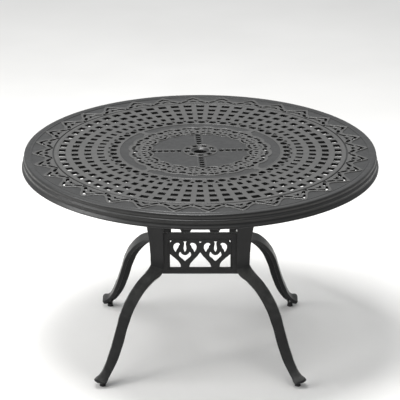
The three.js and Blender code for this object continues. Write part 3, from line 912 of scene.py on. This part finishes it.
def add_gables(shell):
    crest = plate_top + ornament_rise
    root = crest - ornament_root
    bead_crest = plate_top + ornament_bead_rise
    add_plate(shell, gable_outline(), gable_holes() + [circle(gable_start)], thick_bottom, crest, zone_edge)
    add_bead(shell, gable_outline(gable_bead_inset), gable_bead_width, root, bead_crest)
    # The bead that hoods the crescent, and the rib from the tip of the gable to the rim.
    hood = [(505, -17), (514, -16), (523, -10), (530.5, 0), (523, 10), (514, 16), (505, 17)]
    for angle in turns_of(arch_count):
        add_bead(shell, smooth_path(angle, hood), hood_width, root, bead_crest, closed=False)
        tip = [polar(gable_tip_start, angle), polar(gable_tip_end, angle)]
        add_bead(shell, tip, gable_bead_width, root, bead_crest, closed=False)
    # The raised band outside the last windows, and the groove between it and the gables.
    band_outer = lattice_end - band_gap
    add_plate(shell, circle(band_outer), [circle(band_outer - band_width)], plate_top, plate_top + band_rise,
              zone_edge)
    add_plate(shell, circle(gable_start + overlap), [circle(lattice_end - overlap)],
              zone_bottom, plate_top - groove_depth, field_edge)


def add_border_field(shell):
    add_plate(shell, circle(table_radius - rim_width + border_lap), [gable_outline(overlap)],
              zone_bottom, plate_top - border_sink, field_edge)


def add_rim(shell):
    """The rim's section: out over the inner step and the crest, down the mouldings and back inside."""
    # In from the edge and down from the crest to each corner, and its round, in millimetres.
    corners = in_metres([
        (35, 11, 0), (35, 1.6, 1), (31.5, 0.1, 1.4), (28.5, 1.9, 1.8), (22, 0.2, 5), (10, 0, 4.5),
        (7.5, 8.5, 4), (9.5, 12.5, 3), (9.5, 17, 2.5), (5.2, 20.5, 3), (4.8, 25, 3), (7, 28, 2),
        (6.5, 35, 4), (0, 43, 4), (0, 47, 1.6), (9, 47, 1.6), (15, 33, 8), (17, 11, 3),
    ])
    points = [Vector((table_radius - inwards, table_height - down)) for inwards, down, _ in corners]
    profile = []
    for k, corner in enumerate(points):
        reach = corners[k][2]
        start = towards(corner, points[k - 1], reach)
        end = towards(corner, points[(k + 1) % len(points)], reach)
        profile += bend(start, corner, end, tight_steps) if reach else [corner]
    add_turned(shell, profile, rim_steps)


def add_bosses(shell):
    """Bolt bosses under the plate, each with a drilled hole and a cast fillet."""
    # Radius, and height over the plate's underside, in millimetres. The hole is the first wall.
    section = in_metres([(4.5, -7.4), (4.5, 2), (15.5, 2), (15.5, -0.2), (13.6, -2.2), (12.6, -7),
                         (11.6, -8), (5.1, -8)])
    profile = [(radius, plate_bottom + up) for radius, up in section]
    for quarter in range(4):
        turn = Matrix.Rotation(quarter * QUARTER_TURN, 2)
        for place in bolt_places:
            add_turned(shell, profile, boss_steps, turn @ Vector(place))


def make_top():
    shell = Shell()
    for add in (add_hub, add_middle_field, add_vine, add_band_field, add_lattice, add_gables,
                add_border_field, add_rim, add_bosses):
        add(shell)
    piece("top_casting", mesh_of("top_casting", shell), top_coat, "table", "table_top")


# Legs. Each station is a ring of six corners: the outer corner, the two corners of each flange's end
# and the inner corner. It is drawn for the leg at +X, +Y.

# Along the shin from the knee to the toe: reach and height of the outer corner, then of a flange's end, and
# how far out that end's face lies. The flanges stand square to the slope, so their ends hang lower than the
# corner. The corner and the face run from the knee to the toe, the end from the flange's end above the knee.
# Heights share the knee's.
shin_shares = [
    (0.000, 1.000, 0.000, 0.958, 0.000),
    (0.027, 0.973, 0.035, 0.916, 0.058),
    (0.090, 0.941, 0.140, 0.884, 0.145),
    (0.160, 0.917, 0.198, 0.858, 0.211),
    (0.229, 0.888, 0.247, 0.827, 0.273),
    (0.303, 0.844, 0.299, 0.789, 0.339),
    (0.367, 0.800, 0.345, 0.749, 0.397),
    (0.420, 0.757, 0.385, 0.709, 0.446),
    (0.479, 0.703, 0.424, 0.664, 0.494),
    (0.527, 0.641, 0.464, 0.606, 0.540),
    (0.559, 0.597, 0.484, 0.568, 0.568),
    (0.601, 0.514, 0.528, 0.490, 0.606),
    (0.649, 0.424, 0.566, 0.397, 0.659),
    (0.697, 0.341, 0.609, 0.315, 0.706),
    (0.745, 0.273, 0.652, 0.241, 0.756),
    (0.779, 0.222, 0.693, 0.186, 0.795),
    (0.836, 0.157, 0.752, 0.124, 0.858),
    (0.876, 0.132, 0.785, 0.097, 0.897),
    (0.910, 0.121, 0.804, 0.078, 0.932),
    (0.957, 0.114, 0.823, 0.062, 0.973),
    (0.989, 0.105, 0.832, 0.051, 0.995),
]
post_shares = [0.12, 0.25, 0.4, 0.55, 0.7, 0.85, 1]
# Up the toe's underside: each ring's share of the way from the sole's edge to the toe, and its height in
# millimetres.
sole_places = [(0.86, 14), (0.45, 5.5), (0.15, 1.2), (0, 0)]


def share_between(value, start, end):
    return min(max((value - start) / (end - start), 0), 1)


def on_diagonal(reach, height):
    return Vector((reach, reach, height))


def leg_station(corner_reach, corner_height, end_reach, end_height, face, inner, end_wall, corner_cut):
    """One ring of the leg. The inner corner is given; end_wall is the flange's end seen from outside."""
    depth, drop = end_wall
    lip_reach = end_reach + flange_lip
    corners = [
        (on_diagonal(corner_reach, corner_height), corner_cut),
        (Vector((end_reach, face, end_height)), flange_round),
        (Vector((lip_reach, face - depth, end_height - drop)), flange_round),
        (inner, inner_round),
        (Vector((face - depth, lip_reach, end_height - drop)), flange_round),
        (Vector((face, end_reach, end_height)), flange_round),
    ]
    ring = []
    for k, (corner, radius) in enumerate(corners):
        following, following_radius = corners[(k + 1) % len(corners)]
        end = towards(corner, following, radius)
        ring += bend(towards(corner, corners[k - 1][0], radius), corner, end, tight_steps)
        # Points along the side that follows, so that the ruled faces stay smooth.
        side_end = towards(following, corner, following_radius)
        ring += [end.lerp(side_end, share) for share in (1 / 3, 2 / 3)]
    return ring


def post_rings():
    """The post, from the top down to the knee."""
    rings = []
    for share in reversed(post_shares):
        height = knee_height + (leg_top - knee_height) * share
        rise = share_between(height, knee_height, post_straight_start)
        spread_out = share_between(height, panel_top, post_straight_start)
        corner = knee_reach + (leg_top_reach - knee_reach) * rise ** post_power
        end = flange_end_reach + (flange_top_reach - flange_end_reach) * spread_out ** post_power
        inner = on_diagonal(corner - leg_wall, height - inner_drop * (1 - share))
        rings.append(leg_station(corner, height, end, height - flange_drop * (1 - share), corner, inner,
                                 (leg_wall, 0), corner_round))
    return rings


def shin_stations():
    points = []
    for outer, height, inner, inner_height, face in shin_shares:
        points.append(Vector((
            knee_reach + (toe_reach - knee_reach) * outer,
            knee_height * height,
            flange_end_reach + (toe_reach - flange_end_reach) * inner,
            knee_height * inner_height,
            knee_reach + (toe_reach - knee_reach) * face,
        )))
    return spline(points, path_steps, False)


def shin_rings():
    """The shin, from the knee down to the toe. Its walls lean with it and thin out at the toe."""
    stations = shin_stations()
    last = len(stations) - 1
    heel = on_diagonal(sole_inner_reach + sole_heel_inset, leg_sole + sole_rise)
    rings = []
    for k, station in enumerate(stations):
        after = stations[min(k + 1, last)]
        before = stations[max(k - 1, 0)]
        along = Vector((after[0] - before[0], after[1] - before[1])).normalized() if k else knee_way
        closing = share_between(k / last, toe_start_share, 1)
        lean = Vector((-along.y, along.x)) * leg_wall * (1 - toe_thinning_share * closing)
        inner = on_diagonal(station[0] - lean.x, station[1] - lean.y)
        rings.append(leg_station(*station, inner.lerp(heel, closing ** 2), (lean.x, lean.y),
                                 corner_round + toe_round_growth * closing ** 3))
    return rings


def toe_rings():
    """The toe's lip, its rounded tip and the sole over the pad."""
    heel = on_diagonal(sole_inner_reach + toe_heel_inset, leg_sole + sole_rise)
    tip = leg_station(toe_reach, leg_sole + toe_tip_rise, sole_inner_reach - toe_flange_outset,
                      leg_sole + toe_flange_rise, toe_reach, heel, toe_wall, toe_tip_round)
    middle = (sole_inner_reach + sole_outer_reach) / 2
    rings = [tip]
    for share, millimetres in sole_places:
        height = millimetres * MM
        reach = sole_outer_reach + (toe_reach - sole_outer_reach) * share
        scale = (reach - middle) / (toe_reach - middle)
        rings.append([Vector((
            middle + (point.x - middle) * scale,
            middle + (point.y - middle) * scale,
            leg_sole + height * (sole_flat_share + (1 - sole_flat_share) * (point.z - leg_sole)
                                 / toe_tip_rise),
        )) for point in tip])
    return rings


def make_leg_mesh():
    shell = Shell()
    shell.skin([shell.ring(ring) for ring in post_rings() + shin_rings() + toe_rings()])
    pad_outer_reach = leg_top_reach - leg_wall / 2
    outline = rounded_box((leg_pad_inner_reach, leg_pad_inner_reach), (pad_outer_reach, pad_outer_reach),
                          leg_pad_corner)
    holes = [[Vector(place) + point for point in circle(bolt_hole_radius, bolt_hole_steps)]
             for place in bolt_places]
    add_plate(shell, outline, holes, leg_top - leg_pad_thickness, leg_top, leg_pad_edge)
    return mesh_of("leg_casting", shell)


corner_names = ["back_right", "back_left", "front_left", "front_right"]
side_names = ["right", "back", "left", "front"]


def set_castings(kind, mesh, names):
    """The same casting at all four corners or on all four sides."""
    for quarter, name in enumerate(names):
        piece(f"{kind}_casting_{name}", mesh, leg_coat, "table", f"{kind}_{name}",
              quarter * QUARTER_TURN)


# Panels. Openings are places up and across from the middle of the opening's foot, in millimetres.

lobe_hole = [(56.5, 31.5), (66, 37), (74.5, 38.6), (83, 36.8), (88, 31.5), (90, 26.4), (89.6, 22),
             (84.5, 16.6), (78.5, 21.4), (71.5, 23), (65, 28)]
heart_holes = [
    # The chevron over the stem, with the round notch in its top.
    mirrored([(23.5, 0), (28.5, 6), (34, 11.5), (41, 18.5), (48.5, 20), (57.5, 16.8), (51.5, 12),
                (47.4, 7), (45.5, 0)]),
    # The keyhole between the lobes.
    mirrored([(57, 0), (62, 2.8), (69, 4.6), (77, 3.6), (86, 2.2), (91, 3), (94.5, 6.8), (95, 0)]),
    # The commas in the lobes.
    lobe_hole,
    other_side(lobe_hole),
]
middle_holes = [
    mirrored([(1.5, 36), (7, 36), (17, 31.5), (27, 23), (42, 9.5), (53, 2), (55, 0)]),
    mirrored([(88, 0), (94.5, 5)]),
]
side_holes = [
    [(1.5, 65.5), (1.5, 101.2), (49.5, 101.2), (41.5, 92.5), (34.5, 84.5), (24, 73.5), (14, 67), (6, 65.5)],
    [(98.6, 95), (90, 101.2), (98.6, 101.2)],
]


def tracery_holes(opening_width, opening_foot):
    """The openings of the two hearts, and those between them and beside them."""

    def placed(points, centre, side=1):
        return [Vector((centre + side * across, opening_foot + up)) for up, across in in_metres(points)]

    holes = []
    for centre in (-opening_width / 4, opening_width / 4):
        holes += [spline(placed(points, centre), hole_steps, True) for points in heart_holes]
    holes += [rounded(placed(points, 0), panel_hole_corner) for points in middle_holes]
    for side in (-1, 1):
        holes += [rounded(placed(points, 0, side), panel_hole_corner) for points in side_holes]
    return holes


def panel_bolt_holes():
    holes = []
    for side, inset in panel_bolt_insets.items():
        for height in (panel_low.z + inset, panel_high.z - inset):
            centre = Vector((side * (flange_end_reach + panel_bolt_offset), height))
            holes.append([centre + point for point in circle(panel_bolt_hole_radius, panel_hole_steps)])
    return holes


def make_panel_mesh():
    """The panel lying down, its outside upwards; it is stood up to face along +X."""
    opening_half = flange_end_reach - panel_side_rail
    foot = panel_low.z + panel_bottom_rail
    head = panel_high.z - panel_top_rail
    thickness = panel_high.x - panel_low.x
    body_high = thickness - panel_body_inset
    tracery_half = flange_end_reach - tracery_side_inset
    shell = Shell()
    # Tracery and inner frame.
    tracery = rounded_box((-tracery_half, panel_low.z + tracery_end_inset),
                          (tracery_half, panel_high.z - tracery_end_inset), tracery_corner)
    add_plate(shell, tracery, tracery_holes(2 * opening_half, foot), panel_body_inset, body_high,
              tracery_edge, tracery_back_edge)
    # The outer frame that stands proud of it.
    outline = rounded_box((-panel_high.y, panel_low.z), (panel_high.y, panel_high.z), panel_corner)
    step = rounded_box((-opening_half - step_margin, foot - step_margin),
                       (opening_half + step_margin, head + step_head_margin), panel_hole_corner)
    add_plate(shell, outline, [step] + panel_bolt_holes(), 0, thickness, frame_edge, frame_back_edge)
    # The lip round the opening.
    lip = rounded_box((-opening_half - lip_margin, foot - lip_margin),
                      (opening_half + lip_margin, head + lip_margin), panel_hole_corner)
    add_bead(shell, lip, lip_width, body_high - lap, thickness - lip_below_face)
    mesh = mesh_of("panel_casting", shell)
    # Across goes along +Y, up stays up, and the outside faces +X.
    mesh.transform(Matrix(((0, 0, 1, panel_low.x), (1, 0, 0, 0), (0, 1, 0, 0), (0, 0, 0, 1))))
    return mesh


# Fasteners and feet, drawn along +Z and set where their nodes are


def add_hex(shell, across_corners, low, high, chamfer):
    """A hexagon with its corners chamfered at the upper end."""
    flat = across_corners * math.cos(math.pi / 6)

    def ring(limit, height):
        points = []
        for k in range(hex_steps):
            angle = k * FULL_TURN / hex_steps
            side = (angle % (math.pi / 3)) - math.pi / 6
            radius = min(flat / math.cos(side), limit)
            points.append((radius * math.cos(angle), radius * math.sin(angle), height))
        return shell.ring(points)

    top_share, shoulder_share, drop_share = hex_crown_shares
    shell.skin([
        ring(flat * top_share, high),
        ring(flat * shoulder_share, high - chamfer * drop_share),
        ring(across_corners, high - chamfer),
        ring(across_corners, low + chamfer * chamfer_share),
        ring(across_corners - chamfer * chamfer_share, low),
    ])


def threaded_profile(radius, low, high, pitch):
    """Radius and height down a threaded shank, drawn as ridges of the pitch."""
    core = radius * thread_core_share
    ridge = pitch * thread_ridge_share
    profile = [(radius * thread_tip_share, high), (core, high - pitch * thread_start_share)]
    height = high - pitch
    while height > low + pitch:
        profile += [(radius, height + ridge), (core, height - ridge)]
        height -= pitch
    return profile + [(core, low)]


def bolt_mesh(name, head_radius, head_depth, shank_radius, length, pitch):
    """Head below zero, threaded shank above."""
    shell = Shell()
    add_hex(shell, head_radius, 0, head_depth, head_depth * chamfer_share)
    shell.points = [Vector((point.x, point.y, -point.z)) for point in shell.points]
    shell.faces = [tuple(reversed(face)) for face in shell.faces]
    add_turned(shell, threaded_profile(shank_radius, -shank_lap, length, pitch), shank_steps, around=False)
    return mesh_of(name, shell, fastener_crease)


def washer_mesh(name, inner, outer, high):
    shell = Shell()
    edge = high * chamfer_share
    section = [(inner, edge), (inner, high - edge), (inner + edge, high), (outer - edge, high),
               (outer, high - edge), (outer, edge), (outer - edge, 0), (inner + edge, 0)]
    add_turned(shell, section, washer_steps)
    return mesh_of(name, shell, fastener_crease)


def pad_mesh(name, radius, height):
    """The round pad, with a socket for the stud in its top and a recess in its foot."""
    # In millimetres: the socket's radius and depth, the upper edge's inset and depth, the lower edge's inset
    # and height, and the recess's radius and height.
    socket = in_metres([(4.6, 5.5), (4.6, 0.5), (5.2, 0)])
    upper_edge = in_metres([(2.4, 0), (1.7, 0.7), (1.5, 2)])
    lower_edge = in_metres([(1.1, 4.4), (0.3, 3.4), (0, 2.4), (0, 0.9), (0.9, 0)])
    recess = in_metres([(4, 0), (3.4, 0.6), (0.4, 0.6)])
    shell = Shell()
    add_turned(shell, [
        *[(wall, height - depth) for wall, depth in socket],
        *[(radius - inset, height - depth) for inset, depth in upper_edge],
        *[(radius - inset, up) for inset, up in lower_edge],
        *recess,
        (recess[-1][0], height - socket[0][1]),
    ], pad_steps)
    return mesh_of(name, shell, pad_crease)


def stud_mesh(name, length):
    shell = Shell()
    add_turned(shell, threaded_profile(stud_radius, 0, length, stud_pitch), shank_steps, around=False)
    return mesh_of(name, shell, fastener_crease)


def size_of(node):
    low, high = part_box(node)
    return high - low


def foot_of(node, up=0):
    """The middle of the node's underside, or a place above it."""
    low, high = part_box(node)
    return (low.x + high.x) / 2, (low.y + high.y) / 2, low.z + up


def make_top_bolts():
    bolt = bolt_mesh("top_bolt", top_bolt_head_radius, top_bolt_head_depth, top_bolt_radius,
                     size_of("top_bolt_back_right_1").z - top_bolt_head_depth, top_bolt_pitch)
    washer = washer_mesh("top_washer", washer_hole_radius, washer_radius, size_of("washer_back_right_1").z)
    for corner in corner_names:
        for number in (1, 2):
            node = f"top_bolt_{corner}_{number}"
            piece(f"top_hex_bolt_{corner}_{number}", bolt, steel, "table", node,
                  top_bolt_turn * number, foot_of(node, top_bolt_head_depth))
            node = f"washer_{corner}_{number}"
            piece(f"top_flat_washer_{corner}_{number}", washer, steel, "table", node,
                  0, foot_of(node))


def make_panel_bolts():
    mesh = bolt_mesh("panel_bolt", panel_bolt_head_radius, panel_bolt_head_depth, panel_bolt_radius,
                     size_of("panel_bolt_right_1").x - panel_bolt_head_depth, panel_bolt_pitch)
    mesh.transform(Matrix.Rotation(QUARTER_TURN, 4, "Y"))
    for quarter, side in enumerate(side_names):
        outwards = Matrix.Rotation(quarter * QUARTER_TURN, 3, "Z") @ Vector((1, 0, 0))
        for number in (1, 2, 3, 4):
            node = f"panel_bolt_{side}_{number}"
            low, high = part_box(node)
            start = (low + high) / 2 - outwards * (max(size_of(node).xy) / 2 - panel_bolt_head_depth)
            piece(f"panel_hex_bolt_{side}_{number}", mesh, steel, "table", node,
                  quarter * QUARTER_TURN, start)


def make_feet():
    pad_size = size_of("foot_pad_back_right")
    pad = pad_mesh("foot_pad_moulding", pad_size.x / 2, pad_size.z)
    stud = stud_mesh("levelling_stud", size_of("foot_stud_back_right").z)
    for corner in corner_names:
        body = f"foot_{corner}"
        node = f"foot_pad_{corner}"
        piece(f"foot_pad_moulding_{corner}", pad, foot_rubber, body, node, 0, foot_of(node))
        node = f"foot_stud_{corner}"
        piece(f"levelling_stud_{corner}", stud, steel, body, node, 0, foot_of(node))


# Stage


def make_floor():
    corners = [(across * floor_half, along * floor_half, 0)
               for across, along in ((-1, -1), (1, -1), (1, 1), (-1, 1))]
    mesh = bpy.data.meshes.new("floor")
    mesh.from_pydata(corners, [], [(0, 1, 2, 3)])
    floor = new_thing("floor", mesh)
    floor.data.materials.append(pale_floor("pale_floor"))


def make_world():
    """Soft light, lighter overhead and behind the table than on the viewer's side, and a pale backdrop."""
    world = bpy.data.worlds.new("soft_light")
    tree = NodeTree(world)
    sight = tree.coordinates.outputs["Generated"]
    way = tree.add("VectorMath", sight, light_way, operation="DOT_PRODUCT")
    strength = tree.spread(way.outputs["Value"], 0.08, 0.75, -0.3, 0.8)
    light = tree.feed(tree.nodes["Background"], color=light_colour, strength=strength)
    backdrop = tree.feed(tree.add("Background"), color=backdrop_colour, strength=1)
    seen = tree.add("LightPath").outputs["Is Camera Ray"]
    mix = tree.add("MixShader", seen, light.outputs[0], backdrop.outputs[0])
    tree.feed(tree.nodes["World Output"], surface=mix.outputs[0])
    bpy.context.scene.world = world


def soft_lamp(name, place, aim, size, power):
    lamp = bpy.data.lights.new(name, "AREA")
    lamp.shape = "SQUARE"
    lamp.size = size
    lamp.energy = power
    thing = new_thing(name, lamp)
    thing.location = place
    thing.rotation_euler = (Vector(aim) - Vector(place)).to_track_quat("-Z", "Y").to_euler()


def make_camera():
    camera = bpy.data.cameras.new("photo_camera")
    camera.sensor_width = sensor_width
    camera.lens = photo_focal_pixels / photo_size * sensor_width
    camera.shift_x = camera_shift
    camera.clip_end = camera_reach
    thing = new_thing("photo_camera", camera)
    thing.location = camera_place
    thing.rotation_euler = (camera_tilt, 0, 0)
    bpy.context.scene.camera = thing
    bpy.context.scene.view_settings.view_transform = "Standard"


make_camera()
make_top()
set_castings("leg", make_leg_mesh(), corner_names)
set_castings("panel", make_panel_mesh(), side_names)
make_top_bolts()
make_panel_bolts()
make_feet()
make_floor()
make_world()
soft_lamp("overhead_lamp", *overhead_lamp)
soft_lamp("side_lamp", *side_lamp)
